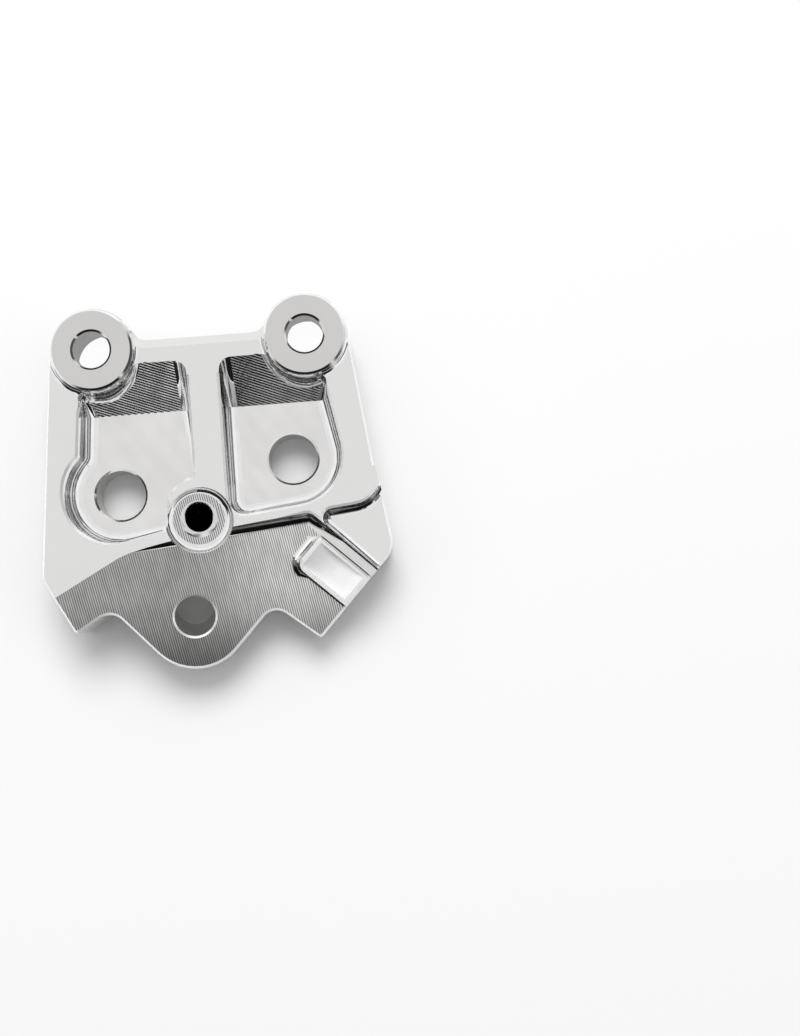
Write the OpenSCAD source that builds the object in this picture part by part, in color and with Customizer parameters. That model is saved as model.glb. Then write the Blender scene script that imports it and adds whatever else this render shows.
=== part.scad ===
// Foot peg bracket, milled from one billet of aluminium. Millimetres.
// The origin is on the back face, midway between the two boss bores. X runs along the
// bosses, Y towards them and Z out of the worked face.

/* [Plate] */
// Thickness of the billet, back face to worked face
plate_t = 21; // [19:0.5:24]
// Shoulder of the plate around each boss, beyond the boss itself
boss_shoulder = 0.6; // [0.4:0.1:1]
// Flare of the left side away from the bosses, in degrees
left_flare = 5.5; // [4:0.5:7]
// Flare of the right side away from the bosses, in degrees
right_flare = 7; // [6:0.5:8]
// Height of the top edge above the boss line
top_edge_y = 2.2; // [1:0.2:3]
// Radius in the corners between the top edge and the bosses
top_corner_r = 4; // [3:0.5:5]
// Wide chamfer along the top edge
top_chamfer = 2.4; // [1:0.2:3]
// Small chamfer on the other edges
edge_break = 0.5; // [0.3:0.1:0.7]

/* [Lower end of the plate] */
// Length of the left side, from the boss to the wing
left_side_l = 55.8; // [55:0.2:57]
// Length of the left wing's end
wing_end_l = 15.7; // [15:0.1:16.4]
// How far the left wing's end is out of square with the seat's line, in degrees
wing_end_off = 2; // [0:0.5:3]
// Turn of the lobe's left flank, in degrees
flank_left = -49; // [-51:0.5:-47]
// Turn of the lobe's right flank and of the low edge right of it, in degrees
flank_right = 46; // [45:0.5:47]
// Tip of the right wing, across from the pivot bore
tip_x = 30.3; // [29.6:0.1:31]
// Tip of the right wing, down from the pivot bore
tip_y = 7.8; // [7.2:0.1:8.4]
// Turn of the right wing's end, in degrees
tip_turn = 140; // [138:0.5:142]
// Length of the right side, from the boss to the kink
right_side_l = 31.6; // [31:0.2:32.4]
// Width of the kink in the right side
kink_w = 1.35; // [1:0.05:1.6]
// Length of the kink in the right side
kink_l = 5.6; // [5:0.2:6.2]
// Radius of the corner at the foot of the left side
side_r = 3; // [2:0.5:4]
// Radius of the wings' tips
tip_r = 0.9; // [0.9:0.1:1.4]
// Radius in the kink
kink_r = 8; // [6:0.5:9]

/* [Bosses] */
// Distance between the two boss bores
boss_pitch = 52; // [50:1:56]
// Outside diameter of a boss
boss_d = 20; // [19:0.5:21]
// Height of a boss above the worked face
boss_h = 2.6; // [2:0.2:4]
// Radius at the foot of a boss
boss_foot_r = 1.6; // [0.8:0.2:1.8]
// Clearance bore for the mounting bolt
boss_bore_d = 9; // [8.4:0.2:10]
// Chamfer at the mouth of a bore
bore_break = 0.5; // [0.3:0.1:0.9]
// Counterbore in the back for the head of the mounting bolt
boss_cbore_d = 15; // [14:0.5:16]
// Metal left under the bolt head
boss_web_t = 7.2; // [6:0.2:9]

/* [Pockets] */
// Depth of both pockets
pocket_depth = 11; // [9:0.5:13]
// Radius between the pocket floor and its walls
floor_r = 3; // [2:0.2:3.2]
// Radius between a ramp and the boss above it
ramp_boss_r = 1.5; // [1:0.1:2]
// Slope of the ramps under the bosses, in degrees
ramp_angle = 45; // [42:1:50]
// Distance from the boss line down to the upper edge of the ramps
ramp_top_y = 3.8; // [3.4:0.1:4.4]
// Width of the web between the pockets
web_w = 8; // [7:0.5:9]
// Distance from a boss axis out to the side wall of its pocket
wall_out = 4.4; // [4:0.1:4.8]
// Chamfer around the mouth of the pockets
pocket_break = 0.6; // [0.3:0.1:0.8]
// Bolt bores in the pocket floors
floor_bore_d = 12.4; // [11:0.2:13]
// Wall radius around a floor bore, to clear the bolt head
head_clear_r = 12.4; // [12:0.1:13]
// Left floor bore, across from the left boss
left_bore_x = 2.7; // [2:0.1:3.4]
// Left floor bore, down from the boss line
left_bore_y = 34.8; // [34:0.2:36]
// Right floor bore, in from the right boss
right_bore_x = 5.6; // [5:0.1:6.2]
// Right floor bore, down from the boss line
right_bore_y = 28.9; // [28:0.2:30]

/* [Ball-nose finish of the ramps] */
// Step between two passes of the ball-nose cutter
pass_pitch = 0.75; // [0.6:0.05:1]
// Radius of the ball-nose cutter
pass_r = 1; // [0.8:0.1:1.5]
// Direction of the passes on the ramp, in degrees
pass_lay = 27; // [15:1:35]

/* [Pivot seat] */
// Slope of the seat against the worked face, in degrees
seat_tilt = 13; // [11:0.5:15]
// Turn of the line where the seat leaves the worked face, in degrees
seat_turn = 28; // [26:0.5:30]
// Pivot bore, across from the left boss
pivot_x = 19.8; // [19:0.2:21]
// Pivot bore, down from the boss line
pivot_y = 66.5; // [65:0.5:68]
// Depth of the seat at the pivot bore, below the worked face
pivot_drop = 5; // [4:0.2:6]
// Diameter of the pivot bore
pivot_d = 10; // [8:0.2:11]
// Radius of the lobe around the pivot bore
lobe_r = 12.9; // [12:0.1:14]
// Radius of the notches beside the lobe
notch_r = 4; // [3:0.5:4.5]
// Radius at the foot of the step between the seat and the worked face
step_r = 2.6; // [2:0.2:3]
// Slope of the step along the plate, in degrees
step_slope = 6; // [5:0.5:7]
// Distance from the boss line to the step, on the centre line of the web
step_y = 45.9; // [45.4:0.1:46.4]

/* [Tapped hole] */
// Tapped hole, across the seat from the pivot bore
tap_x = 13.7; // [13.4:0.1:14]
// Tapped hole, up the seat from the pivot bore
tap_y = 19.6; // [19.2:0.1:20]
// Core diameter of the thread
tap_core_d = 6.8; // [6.4:0.1:7]
// Countersink of the thread
tap_sink_d = 9.2; // [8.6:0.1:9.6]
// Depth of the core drilling below the spot face
tap_depth = 13; // [12:0.5:14]
// Diameter of the flat spot face
spot_d = 12.6; // [12:0.2:13.2]
// Depth of the spot face below the plane of the seat
spot_depth = 1.8; // [1.4:0.1:2.2]
// Radius between the spot face and its wall
spot_r = 2; // [1.4:0.1:2.4]
// Wall radius around the tapped hole, inside the left pocket
tap_boss_r = 7.6; // [7.2:0.1:8]

/* [Stop block and low corner] */
// Depth of the low corner below the worked face
corner_drop = 4.2; // [3.8:0.1:4.6]
// Radius of the plate's corner above the low corner
corner_r = 7.4; // [6:0.2:8]
// Radius of the low corner itself
low_corner_r = 6; // [4:0.5:7]
// Distance from the tip of the right wing to the block
block_from_tip = 10.2; // [9:0.2:11]
// Height of the block above the seat
block_h = 3; // [2.4:0.2:3.6]
// Length of the block, from its inner end to the edge of the plate
block_l = 16.9; // [16:0.1:18]
// Width of the block
block_w = 9.4; // [8.8:0.2:10]
// Width of the groove between the block and the low corner
groove_w = 2.6; // [2.2:0.1:2.8]
// Radius at the foot of the block's inner end
block_foot_r = 2.4; // [1.6:0.2:2.4]
// Radius at the foot of the block's long side
block_side_r = 0.9; // [0.5:0.1:1.2]
// Rim left around the recess
block_rim = 1.1; // [0.9:0.1:1.5]
// Depth of the recess at its middle
recess_depth = 1.9; // [1.4:0.1:2.2]
// Radius of the recess floor
recess_r = 14; // [12:1:20]

/* [Hidden] */

arc_step = 9;       // degrees between the points of an arc
foot_step = 15;     // the same for the radius at the foot of a wall
nudge = 1;          // degrees that keep the ends of two arcs apart
over = 0.5;         // how far a cutter runs past the surface it leaves
slack = 0.3;        // the same for the narrow cutters along the edges
step_up = 0.02;     // least rise from one ring of a cutter to the next
bore_fn = 96;       // sides of a bore in a mesh
far = 60;           // reach of a cutter past the edge of the plate

boss_r = boss_d / 2;
boss_top_z = plate_t + boss_h;
shoulder_r = boss_r + boss_shoulder;
left_boss = [-boss_pitch / 2, 0];
right_boss = [boss_pitch / 2, 0];
web_x = 0.4;        // the web stands a little right of the middle
web_left = web_x - web_w / 2;
web_right = web_x + web_w / 2;

// Points along a chain of arcs. An arc is [x, y, radius, from, to, extras...]; a hollow corner
// runs backwards. A point is [x, y, outward normal x, outward normal y, extras...].
function arc_points(chain) = [
    for (a = chain)
        let (n = ceil(abs(a[4] - a[3]) / arc_step), side = a[4] < a[3] ? -1 : 1)
        for (i = [0:n])
            let (t = n == 0 ? a[3] : a[3] + (a[4] - a[3]) * i / n)
            [a[0] + a[2] * cos(t), a[1] + a[2] * sin(t), side * cos(t), side * sin(t),
             a[5], a[6]]
];

// Arc of radius r in the corner at b of a path that keeps its inside on the left
function corner_arc(a, b, c, r, e = edge_break) =
    let (
        u = (a - b) / norm(a - b),
        v = (c - b) / norm(c - b),
        turn = u[0] * v[1] - u[1] * v[0],
        half = acos(u * v) / 2,
        mid = (u + v) / norm(u + v),
        o = b + mid * r / sin(half),
        out = atan2(-mid[1], -mid[0]),
        sweep = 90 - half
    )
    turn < 0
        ? [o[0], o[1], r, out - sweep, out + sweep, e, 0]
        : [o[0], o[1], r, out + sweep, out - sweep, e, 0];

function polar(turn, r = 1) = r * [cos(turn), sin(turn)];

// Where the line through p at turn a meets the line through q at turn b
function meet(p, a, q, b) =
    let (d = q - p, u = polar(a), v = polar(b))
    p + u * (d[0] * v[1] - d[1] * v[0]) / (u[0] * v[1] - u[1] * v[0]);

// Solid through a stack of rings, lowest first, each an anticlockwise list of points. The
// lowest face is made of flats, each [first point of the ring, last point, hub].
module loft(rings, flats) {
    n = len(rings[0]);
    m = len(rings);
    lid = (m - 1) * n;
    hub = m * n;
    top = rings[m - 1][0][2];
    polyhedron(
        points = concat([for (r = rings) each r], [for (f = flats) f[2]],
            [[flats[0][2][0], flats[0][2][1], top]]),
        faces = concat(
            [for (k = [0:len(flats) - 1], i = [flats[k][0]:flats[k][1] - 1])
                [i % n, (i + 1) % n, hub + k]],
            [for (k = [0:len(flats) - 1])
                if ((flats[k][1] - flats[k][0]) % n != 0)
                    [flats[k][1] % n, flats[k][0] % n, hub + k]],
            [for (k = [0:m - 2], i = [0:n - 1])
                let (a = k * n + i, b = k * n + (i + 1) % n)
                each [[a, a + n, b], [b, a + n, b + n]]],
            [for (i = [0:n - 1]) [lid + (i + 1) % n, lid + i, hub + len(flats)]]));
}

// Pocket or step left by an end mill. A point of its wall is [x, y, outward normal x, outward
// normal y, radius at the foot, chamfer at the mouth]; bed(p) is the height of its floor.
module milled(wall, bed, flats) {
    function foot(p, t) =
        let (inset = p[4] * (1 - sin(t)), q = [p[0] - p[2] * inset, p[1] - p[3] * inset])
        [q[0], q[1], bed(q) + p[4] * (1 - cos(t))];
    function bevel(p) = max(0, min(p[5], plate_t - bed(p) - p[4]));
    function lip(p) = max(bed(p) + p[4] + step_up, plate_t - bevel(p));
    function mouth(p, z) =
        let (w = bevel(p) > 0 ? bevel(p) + over : 0)
        [p[0] + p[2] * w, p[1] + p[3] * w, z];
    loft(concat(
        [for (t = [0:foot_step:90]) [for (p = wall) foot(p, t)]],
        [[for (p = wall) [p[0], p[1], lip(p)]],
         [for (p = wall) mouth(p, max(lip(p) + step_up, plate_t + over))],
         [for (p = wall) mouth(p, clear_z)]]
    ), [for (f = flats) [f[0], f[1], [f[2][0], f[2][1], bed(f[2])]]]);
}

// Cutter for a chamfer along a run of an edge, or all round it when closed. A station is
// [x, y, outward normal x, outward normal y, height, width of the chamfer]; side is 1 for an
// upper edge and -1 for a lower one.
module edge_cutter(stations, side = 1, closed = false) {
    m = len(stations);
    last = 3 * m;
    function at(s, inset, drop) =
        [s[0] - s[2] * inset, s[1] - s[3] * inset, s[4] - side * drop];
    function turned(f) = side > 0 ? f : [f[2], f[1], f[0]];
    polyhedron(
        points = [for (s = stations) each [
            at(s, s[5] + slack, -slack), at(s, -slack, -slack), at(s, -slack, s[5] + slack)]],
        faces = concat(
            closed ? [] : [turned([0, 1, 2]), turned([last - 1, last - 2, last - 3])],
            [for (i = [0:closed ? m - 1 : m - 2], j = [0:2])
                let (a = 3 * i + j, b = 3 * i + (j + 1) % 3,
                     c = (a + 3) % last, d = (b + 3) % last)
                each [turned([a, c, b]), turned([b, c, d])]]));
}

// Plan of the plate
pivot = left_boss + [pivot_x, -pivot_y];
seat_dir = polar(seat_turn - 90);
seat_foot_z = plate_t - pivot_drop;
function seat_z(p) = seat_foot_z - tan(seat_tilt) * ([p[0], p[1]] - pivot) * seat_dir;

left_side = left_boss + polar(180 - left_flare, shoulder_r);
right_side = right_boss + polar(-right_flare, shoulder_r);
wing_top = left_side + polar(-90 - left_flare, left_side_l);
wing_end_turn = seat_turn - 90 - wing_end_off;
wing_tip = wing_top + polar(wing_end_turn, wing_end_l);
lobe_left = pivot + polar(flank_left - 90, lobe_r);
lobe_right = pivot + polar(flank_right - 90, lobe_r);
notch_left = meet(wing_tip, seat_turn + wing_end_off, lobe_left, flank_left);
block_tip = pivot + [tip_x, -tip_y];
notch_right = meet(block_tip, tip_turn, lobe_right, flank_right);
kink_top = right_side + polar(right_flare - 90, right_side_l);
kink_foot = kink_top + [kink_w, -kink_l];
low_corner = meet(block_tip, flank_right, kink_foot, right_flare - 90 + nudge);

top_arc_y = top_edge_y + top_corner_r;
top_arc_x = sqrt(pow(shoulder_r + top_corner_r, 2) - pow(top_arc_y, 2));
top_turn = atan2(top_arc_y, top_arc_x);
shoulder_break = 0.3;       // chamfer of the narrow shoulder beside a boss

// The first extra of an arc is the width of its upper chamfer
sides = [
    corner_arc(left_side, wing_top, wing_tip, side_r),
    corner_arc(wing_top, wing_tip, notch_left, tip_r),
    corner_arc(wing_tip, notch_left, lobe_left, notch_r),
    [pivot[0], pivot[1], lobe_r, flank_left - 90, flank_right - 90, edge_break, 0],
    corner_arc(lobe_right, notch_right, block_tip, notch_r),
    corner_arc(notch_right, block_tip, low_corner, tip_r),
    corner_arc(block_tip, low_corner, kink_foot, low_corner_r),
    corner_arc(low_corner, kink_foot, kink_top, kink_r),
    corner_arc(kink_foot, kink_top, right_side, kink_r)
];
head = [
    [right_boss[0], 0, shoulder_r, -right_flare, 180 - top_turn, shoulder_break, 0],
    [right_boss[0] - top_arc_x, top_arc_y, top_corner_r, -top_turn - nudge, -90,
     top_chamfer, 0],
    [left_boss[0] + top_arc_x, top_arc_y, top_corner_r, -90, top_turn - 180 + nudge,
     top_chamfer, 0],
    [left_boss[0], 0, shoulder_r, top_turn, 180 - left_flare, shoulder_break, 0]
];
edge = arc_points(concat(sides, head));

module plan(h) {
    linear_extrude(h) polygon([for (p = edge) [p[0], p[1]]]);
}

// Chamfers of the outline, along the worked face, the seat, the block and the low corner
function station(p, z) = [p[0], p[1], p[2], p[3], z, p[4]];
function on_line(p, turn, w = edge_break) = [p[0], p[1], sin(turn), -cos(turn), w, 0];

seat_exit = meet(wing_top, wing_end_turn,
    pivot - seat_dir * pivot_drop / tan(seat_tilt), seat_turn);
face_run = arc_points(concat([sides[8]], head, [sides[0]]));
seat_run = arc_points([for (i = [1:5]) sides[i]]);
corner_run = arc_points([for (i = [6:7]) sides[i]]);

module edges() {
    edge_cutter(concat(
        [for (p = face_run) station(p, plate_t)],
        [station(on_line(seat_exit, wing_end_turn), plate_t)],
        [for (p = seat_run) station(p, seat_z(p))],
        [let (p = on_line(block_tip + polar(flank_right, block_from_tip), flank_right))
            station(p, seat_z(p))]));
    edge_cutter([for (u = [0, block_w])
        let (p = on_line(block_tip + polar(flank_right, block_from_tip + u), flank_right))
        station(p, seat_z(p) + block_h / cos(seat_tilt))]);
    edge_cutter(concat(
        [station(on_line(groove_edge - polar(flank_right, 2 * over), flank_right),
            plate_t - corner_drop)],
        [for (p = corner_run) station(p, plate_t - corner_drop)]));
}

module back_edges() {
    edge_cutter([for (p = edge) [p[0], p[1], p[2], p[3], 0, edge_break]], -1, true);
}

// Boss standing on the plate, with a radius at its foot where the plate is wide enough
module boss(centre) {
    translate([centre[0], centre[1], plate_t / 2]) rotate_extrude($fn = bore_fn) polygon([
        [0, 0], [boss_r, 0], [boss_r, boss_top_z - plate_t / 2 - edge_break],
        [boss_r - edge_break, boss_top_z - plate_t / 2], [0, boss_top_z - plate_t / 2]]);
    intersection() {
        translate([centre[0], centre[1], plate_t]) rotate_extrude($fn = bore_fn)
            polygon(concat(
                [[boss_r - over, -over], [boss_r + boss_foot_r, -over]],
                [for (t = [0:foot_step:90 - foot_step]) [
                    boss_r + boss_foot_r * (1 - sin(t)), boss_foot_r * (1 - cos(t))]],
                [[boss_r - over, boss_foot_r]]));
        linear_extrude(boss_top_z)
            polygon([for (p = edge) let (w = p[4] + 5 * step_up)
                [p[0] - p[2] * w, p[1] - p[3] * w]]);
    }
}

// Bolt bore through a boss, with its counterbore in the back
module boss_bore(centre) {
    translate(centre) {
        translate([0, 0, -over]) cylinder(h = boss_top_z + 2 * over, d = boss_bore_d,
            $fn = bore_fn);
        translate([0, 0, -over]) cylinder(h = boss_top_z - boss_web_t + over,
            d = boss_cbore_d, $fn = bore_fn);
        translate([0, 0, boss_top_z - bore_break]) mouth_cone(boss_bore_d);
    }
}

// Chamfer at the mouth of a bore, from the plane where the chamfer starts
module mouth_cone(d) {
    cylinder(h = bore_break + over, d1 = d, d2 = d + 2 * (bore_break + over), $fn = bore_fn);
}

// Pockets. The wall of a pocket is a chain of arcs whose extras are the radius at its foot
// and the chamfer at its mouth.
floor_z = plate_t - pocket_depth;
clear_z = boss_top_z + 2 * floor_r;
ramp_foot_y = -ramp_top_y - pocket_depth / tan(ramp_angle);
ramp_head_y = -ramp_top_y + floor_r;
head_corner_r = floor_r + 0.6;  // upper corner of a pocket, beside the web
head_run = 13;                  // from a boss axis to the straight upper edge of its pocket
head_turn = 12;                 // where that edge meets the wall around the boss
boss_wall_r = boss_r + 0.4;     // a narrow ledge is left around the boss
small_r = 1.4;                  // corners that only a small cutter reaches
small_foot_r = 1.1;             // radius at the foot of those corners
least_r = 0.2;                  // least radius left inside a corner at its foot
break_end_y = -ramp_top_y - floor_r / tan(ramp_angle) - 2 * over;

pocket_bed = function(p) max(floor_z, plate_t + (p[1] + ramp_top_y) * tan(ramp_angle));

// A pocket wall is [lower part, upper part]: the lower part runs from the left end of the
// ramp's foot round the floor to the right end, the upper part back round the ramp.
module pocket(wall, hub) {
    low = arc_points(wall[0]);
    all = concat(low, arc_points(wall[1]));
    milled(all, pocket_bed, [
        [0, len(low), hub],
        [len(low), len(all), [hub[0], ramp_foot_y + 1]]
    ]);
}

// Cutter for the passes of the ball-nose tool over the flat of a ramp
module ramp_passes(wall, centre_x) {
    reach = pocket_depth / sin(ramp_angle);
    turns = ceil(reach / pass_pitch);
    quarter = pass_pitch / 4;
    sink = pass_r * (1 - cos(asin(2 * quarter / pass_r))) + 3 * step_up;
    intersection() {
        linear_extrude(plate_t + 2 * over) polygon([
            for (p = arc_points(concat(wall[1], [wall[0][0]])))
                [p[0] - p[2] * p[4], p[1] - p[3] * p[4]]]);
        translate([centre_x, -ramp_top_y - pocket_depth / tan(ramp_angle) / 2,
                   plate_t - pocket_depth / 2])
            rotate([ramp_angle, 0, 0]) rotate([0, 0, -pass_lay]) rotate([90, 0, 90])
            linear_extrude(3 * reach, center = true) polygon(concat(
                [for (i = [-turns:turns], t = [-2:2])
                    let (x = t * quarter)
                    if (t > -2 || i == -turns)
                        [i * pass_pitch + x,
                         pass_r - sqrt(pass_r * pass_r - x * x) - sink]],
                [[turns * pass_pitch + pass_pitch, reach],
                 [-turns * pass_pitch - pass_pitch, reach]]));
    }
}

left_bore = left_boss + [left_bore_x, -left_bore_y];
right_bore = right_boss + [-right_bore_x, -right_bore_y];
tap_in_plan = pivot + tap_x * polar(seat_turn) - tap_y * cos(seat_tilt) * seat_dir;
tap_boss_up = 3.1;              // the wall's centre stands this far up the plate
tap_boss = tap_in_plan + [0, tap_boss_up];

// Left pocket
left_wall_x = left_boss[0] - wall_out;
left_foot = [left_wall_x, ramp_foot_y];
wall_dir = polar(-90 - left_flare);
wall_out_dir = polar(180 - left_flare);
neck_start = left_foot + wall_out_dir * small_r - left_bore;
neck_run = -neck_start * wall_dir
    - sqrt(pow(neck_start * wall_dir, 2) - neck_start * neck_start
        + pow(head_clear_r + small_r, 2));
neck = left_foot + wall_out_dir * small_r + wall_dir * neck_run;
neck_turn = atan2(left_bore[1] - neck[1], left_bore[0] - neck[0]);
left_floor_turn = 12;           // turn of the lower wall of the left pocket
left_round_end = left_bore + polar(left_floor_turn - 90, head_clear_r);
left_corner_r = 2.4;
left_corner_x = tap_boss[0] - tap_boss_r - left_corner_r;
left_corner_y = left_round_end[1]
    + (left_corner_r + (left_corner_x - left_round_end[0]) * sin(left_floor_turn))
        / cos(left_floor_turn);
fin_x = web_left - small_r;
fin_y = tap_boss[1]
    + sqrt(pow(tap_boss_r + small_r, 2) - pow(fin_x - tap_boss[0], 2));
fin_turn = atan2(fin_y - tap_boss[1], fin_x - tap_boss[0]);
side_corner_y = -sqrt(pow(boss_wall_r + small_r, 2) - pow(wall_out - small_r, 2));
side_corner_turn = atan2(side_corner_y, small_r - wall_out);

left_wall = [
    [
        [left_foot[0], left_foot[1], 0, 180, 180, floor_r, pocket_break],
        [neck[0], neck[1], small_r, -left_flare, neck_turn, floor_r, pocket_break],
        [left_bore[0], left_bore[1], head_clear_r, neck_turn + 180 + nudge, 270 + left_floor_turn,
         floor_r, pocket_break],
        [left_corner_x, left_corner_y, left_corner_r, 270 + left_floor_turn, 360,
         left_corner_r - least_r, pocket_break],
        [tap_boss[0], tap_boss[1], tap_boss_r, 180, fin_turn, small_foot_r, pocket_break],
        [fin_x, fin_y, small_r, fin_turn - 180 + nudge, 0, small_foot_r, pocket_break]
    ],
    [
        [web_left, ramp_foot_y, 0, 0, 0, floor_r, pocket_break],
        [web_left, break_end_y, 0, 0, 0, floor_r, pocket_break],
        [web_left - head_corner_r, ramp_head_y - head_corner_r, head_corner_r, 0, 90,
         floor_r, 0],
        [left_boss[0] + head_run, ramp_head_y, 0, 90, 90, floor_r, 0],
        [left_boss[0], 0, boss_wall_r, -head_turn, side_corner_turn, ramp_boss_r, 0],
        [left_wall_x + small_r, side_corner_y, small_r, side_corner_turn + 180 + nudge, 180,
         small_foot_r, 0]
    ]
];

left_hub = left_bore + [6, 10];     // a point that sees the whole wall of the left pocket

// Right pocket
right_wall_x = right_boss[0] + wall_out;
right_corner_r = 4;
right_side_turn = 8;            // lean of the right wall
right_floor_end = right_bore + polar(step_slope - 90, head_clear_r);
right_corner_x = web_right + right_corner_r;
right_corner_y = right_floor_end[1]
    + (right_corner_r + (right_corner_x - right_floor_end[0]) * sin(step_slope))
        / cos(step_slope);

right_wall = [
    [
        [web_right, ramp_foot_y, 0, 180, 180, floor_r, pocket_break],
        [right_corner_x, right_corner_y, right_corner_r, 180, 270 + step_slope, floor_r,
         pocket_break],
        [right_bore[0], right_bore[1], head_clear_r, step_slope - 90, right_side_turn,
         floor_r, pocket_break]
    ],
    [
        [right_wall_x, ramp_foot_y, 0, 0, 0, floor_r, pocket_break],
        [right_wall_x - small_r, side_corner_y, small_r, 0, -side_corner_turn - nudge,
         small_foot_r, 0],
        [right_boss[0], 0, boss_wall_r, -180 - side_corner_turn, head_turn - 180,
         ramp_boss_r, 0],
        [right_boss[0] - head_run, ramp_head_y, 0, 90, 90, floor_r, 0],
        [web_right + head_corner_r, ramp_head_y - head_corner_r, head_corner_r, 90, 180,
         floor_r, 0],
        [web_right, break_end_y, 0, 180, 180, floor_r, pocket_break]
    ]
];

right_hub = right_bore + [-4, 7];   // a point that sees the whole wall of the right pocket

// Bolt bore in a pocket floor
module floor_bore(centre) {
    translate([centre[0], centre[1], -over])
        cylinder(h = floor_z + 2 * over, d = floor_bore_d, $fn = bore_fn);
    translate([centre[0], centre[1], floor_z - bore_break]) mouth_cone(floor_bore_d);
}

// Seat for the pivot, milled square to the pivot bore, and the step that ends it
groove_edge = block_tip + polar(flank_right, block_from_tip + block_w + groove_w);
low_wall_turn = flank_right - 90;
step_point = [web_x, -step_y];
step_end = meet(groove_edge, low_wall_turn, step_point, step_slope);
step_start = step_point + polar(step_slope + 180, far);
side_foot_r = 0.5;      // radius at the foot of a wall cut by the side of an end mill
groove_foot_r = 0.3;    // radius at the foot of the block, in the groove
block_round = 0.8;      // radius of the block's inner corner in the groove
corner_foot_r = 2.2;    // radius at the foot of the wall above the low corner

function point(p, turn, foot) = [p[0], p[1], 0, turn, turn, foot, pocket_break];
function with_foot(a, foot) = [a[0], a[1], a[2], a[3], a[4], foot, pocket_break];

module seat_cutter() {
    wall = arc_points([
        point(step_start, step_slope + 90, step_r),
        point([step_start[0], step_start[1] - far], 180, side_foot_r),
        point([groove_edge[0] + far, step_start[1] - far], -90, side_foot_r),
        point(groove_edge + polar(low_wall_turn, far / 2), low_wall_turn + 90, side_foot_r),
        point(step_end + polar(low_wall_turn, 4 * step_r), low_wall_turn + 90, side_foot_r),
        with_foot(corner_arc(groove_edge, step_end, step_start, step_r + least_r), step_r)
    ]);
    milled(wall, function(p) seat_z(p), [[0, len(wall), pivot]]);
}

// Low corner right of the block, level with the worked face
corner_out = 1.2;       // how far the end of the corner's radius runs out of the side
corner_at = meet(
    step_point + polar(step_slope + 90, corner_r), step_slope,
    right_side + polar(right_flare - 180, corner_r - corner_out), right_flare - 90);

module corner_cutter() {
    z = plate_t - corner_drop;
    tip = corner_arc(corner_at + polar(step_slope - 90, corner_r), step_end, groove_edge,
        corner_foot_r + least_r);
    wall = arc_points([
        point(groove_edge + polar(low_wall_turn, far / 2), low_wall_turn - 90, side_foot_r),
        point(groove_edge + [far, -far / 2], -45, side_foot_r),
        point(corner_at + [far, 2 * corner_r], 45, side_foot_r),
        point(corner_at + [corner_r, 2 * corner_r], 180, corner_foot_r),
        [corner_at[0], corner_at[1], corner_r, 0, step_slope - 90, corner_foot_r,
         pocket_break],
        with_foot(tip, corner_foot_r)
    ]);
    milled(wall, function(p) z,
        [[0, len(wall), groove_edge + polar(low_wall_turn, far / 4) + [over, over]]]);
}

module on_seat() {
    translate([pivot[0], pivot[1], seat_foot_z])
        rotate([0, 0, seat_turn]) rotate([seat_tilt, 0, 0]) children();
}

module pivot_bore() {
    on_seat() {
        translate([0, 0, -2 * plate_t])
            cylinder(h = 3 * plate_t, d = pivot_d, $fn = bore_fn);
        translate([0, 0, -bore_break]) mouth_cone(pivot_d);
    }
}

drill_point = 30;       // slope of the bottom that a drill leaves, in degrees

module tapped_hole() {
    spot = spot_d / 2;
    on_seat() translate([tap_x, tap_y, -spot_depth]) {
        rotate_extrude($fn = bore_fn) polygon(concat(
            [[0, 0]],
            [for (t = [0:foot_step:90]) [spot + spot_r * sin(t), spot_r * (1 - cos(t))]],
            [[spot + spot_r, plate_t / 2], [0, plate_t / 2]]));
        rotate_extrude($fn = bore_fn) polygon([
            [0, over],
            [tap_sink_d / 2 + over, over],
            [tap_core_d / 2, (tap_core_d - tap_sink_d) / 2],
            [tap_core_d / 2, -tap_depth],
            [0, -tap_depth - tap_core_d / 2 * tan(drill_point)]]);
    }
}

// Block that stops the pivoting part, on the seat
module on_block() {
    centre = block_tip + polar(flank_right, block_from_tip + block_w / 2);
    translate([centre[0], centre[1], seat_z(centre)])
        rotate([0, 0, seat_turn]) rotate([seat_tilt, 0, 0])
        rotate([0, 0, flank_right - seat_turn]) children();
}

module block() {
    half = block_w / 2;
    low = -far / 4;
    wall = arc_points([
        [-half, low, 0, 180, 180, block_side_r, 0],
        [half, low, 0, 0, 0, groove_foot_r, 0],
        [half - block_round, block_l - block_round, block_round, 0, 90, groove_foot_r, 0],
        [half - block_foot_r, block_l, 0, 90, 90, block_foot_r, 0],
        [-half + block_foot_r, block_l - block_foot_r, block_foot_r, 90, 180, block_foot_r,
         0],
        [-half, block_l - 2 * block_foot_r, 0, 180, 180, block_side_r, 0]
    ]);
    function out(p, w, z) = [p[0] + p[2] * w, p[1] + p[3] * w, z];
    on_block() difference() {
        loft(concat(
            [[for (p = wall) out(p, p[4], -over)]],
            [for (t = [0:foot_step:90])
                [for (p = wall) out(p, p[4] * (1 - sin(t)), p[4] * (1 - cos(t)))]],
            [[for (p = wall) out(p, 0, block_h - edge_break)],
             [for (p = wall) out(p, -edge_break, block_h)]]
        ), [[0, len(wall), [0, 0, -over]]]);
        intersection() {
            translate([block_rim - half, 2 * block_rim, 0])
                cube([block_w - 2 * block_rim, block_l - 3 * block_rim, block_h + over]);
            translate([-block_w, (block_l + block_rim) / 2, block_h - recess_depth + recess_r])
                rotate([0, 90, 0]) cylinder(h = 2 * block_w, r = recess_r, $fn = 2 * bore_fn);
        }
    }
}

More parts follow.
